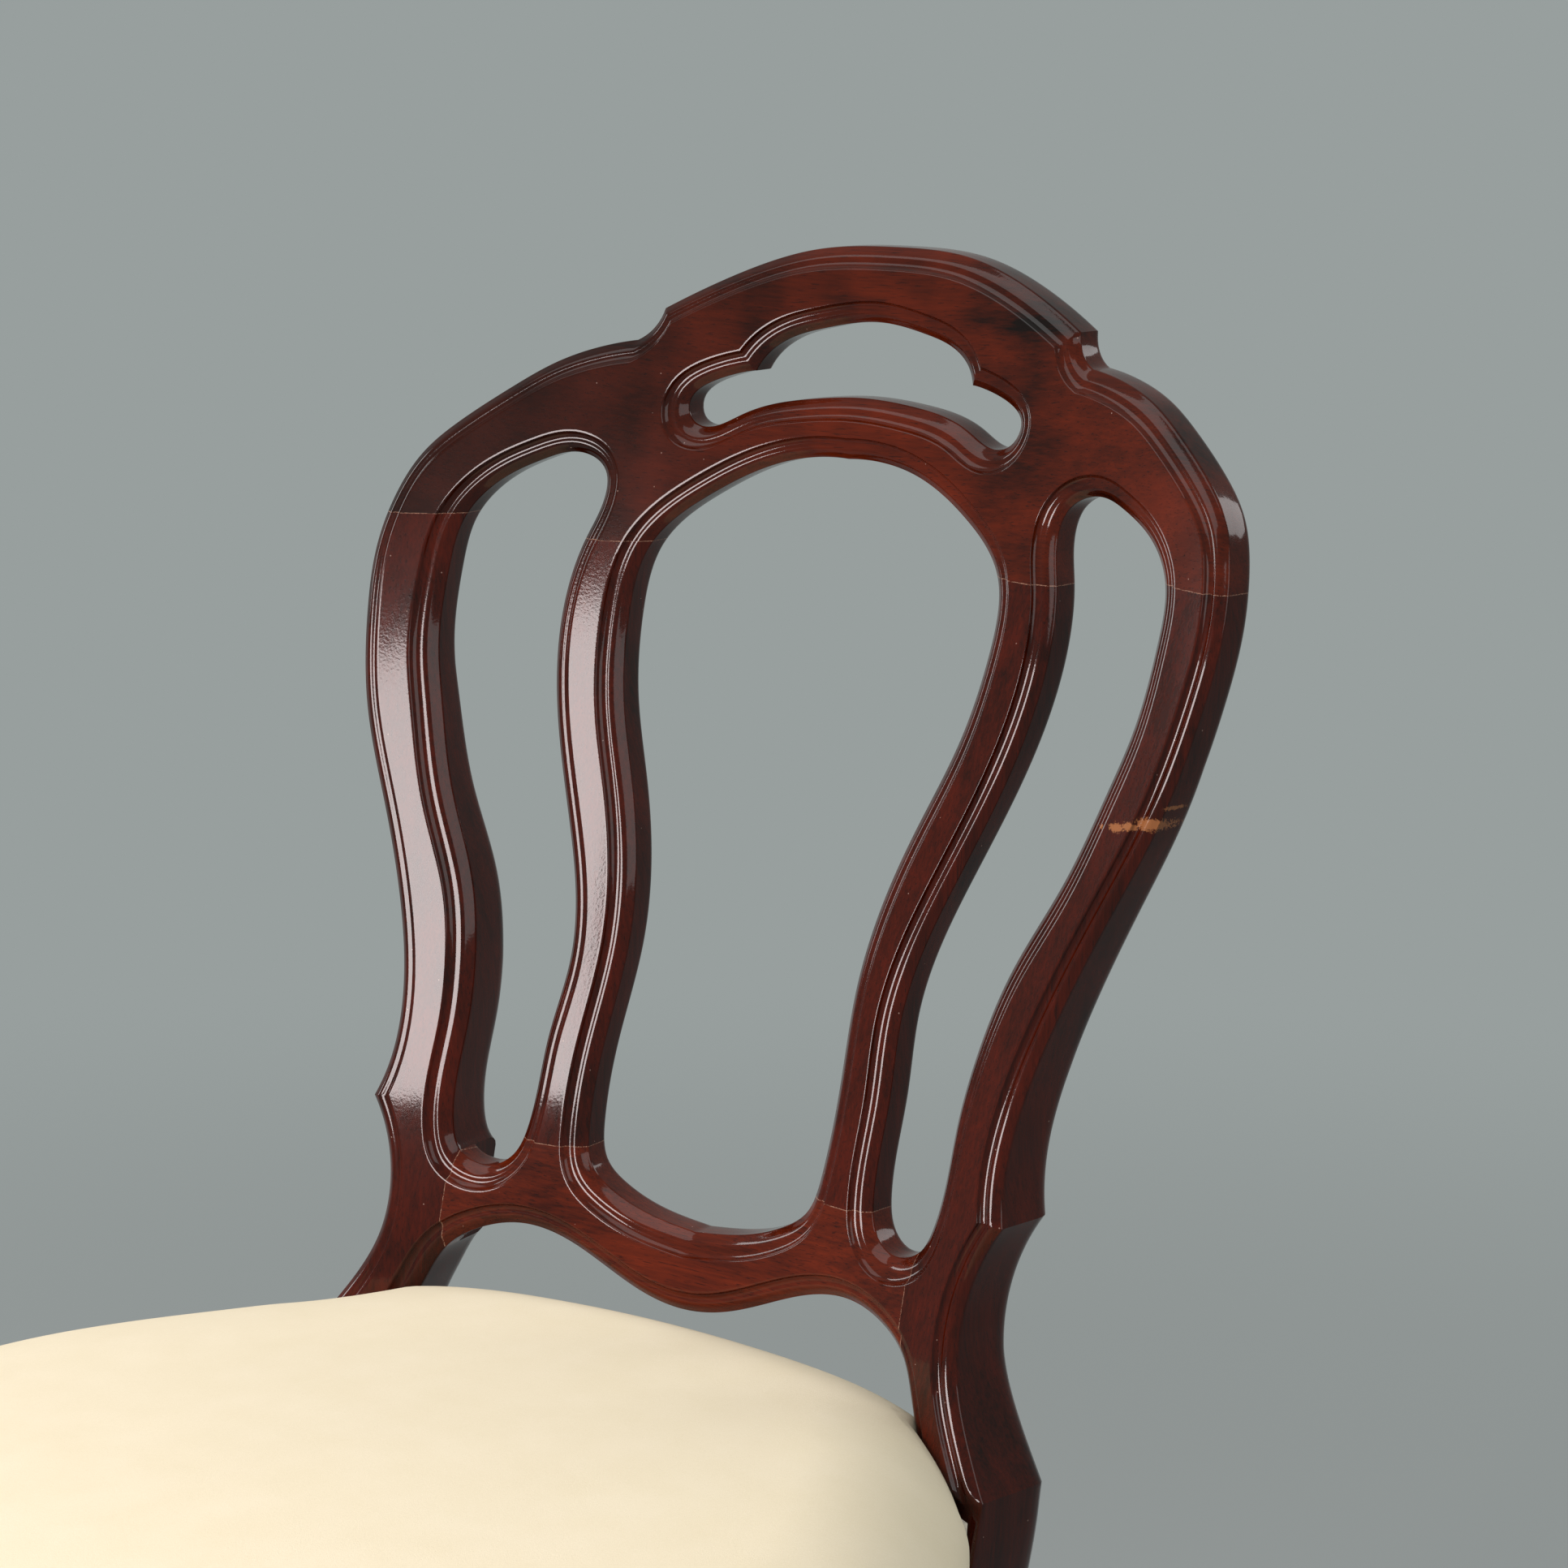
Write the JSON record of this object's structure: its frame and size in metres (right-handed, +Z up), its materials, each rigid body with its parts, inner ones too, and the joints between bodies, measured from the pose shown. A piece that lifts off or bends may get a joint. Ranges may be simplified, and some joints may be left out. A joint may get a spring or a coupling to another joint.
{
  "type": "balloon back dining chair",
  "caption": "Wooden dining chair with a bowed, pierced balloon back of moulded curves, raked back legs, turned front legs and a domed seat upholstered in plain cream felt.",
  "frame": {"origin": "on the floor under the middle of the whole chair", "axes": "+X to the sitter's left, +Y to the back of the chair, +Z up"},
  "size_m": [0.4668, 0.5792, 0.867],
  "materials": {
    "mahogany": "dark red mahogany, French polished to a gloss",
    "beech": "plain planed beech, unpolished",
    "wool_felt": "matt cream wool felt with a fine fuzz",
    "cotton_wadding": "soft white cotton wadding",
    "curled_hair": "springy curled hair",
    "hessian": "coarse plain woven jute",
    "jute_webbing": "close woven jute strap",
    "black_cambric": "thin black dust cloth",
    "spring_steel": "coppered steel wire",
    "screw_steel": "plain steel",
    "tack_steel": "blued steel"
  },
  "bodies": {
    "root": {"crest_rail": "mahogany", "stay_rail": "mahogany", "upright_left": "mahogany", "upright_right": "mahogany", "stile_leg_left": "mahogany", "stile_leg_right": "mahogany", "front_leg_left": "mahogany", "front_leg_right": "mahogany", "seat_rail_front": "beech", "seat_rail_back": "beech", "seat_rail_left": "beech", "seat_rail_right": "beech", "corner_block_front_left": "beech", "corner_block_front_right": "beech", "corner_block_back_left": "beech", "corner_block_back_right": "beech", "corner_block_screws": "screw_steel", "crest_dowels": "beech", "upright_dowels": "beech", "stay_rail_dowels": "beech", "webbing_lengthwise": "jute_webbing", "webbing_crosswise": "jute_webbing", "seat_springs": "spring_steel", "hessian": "hessian", "hair_stuffing": "curled_hair", "wadding": "cotton_wadding", "seat_cover": "wool_felt", "dust_cover": "black_cambric", "dust_cover_tacks": "tack_steel"}
  },
  "joints": []
}
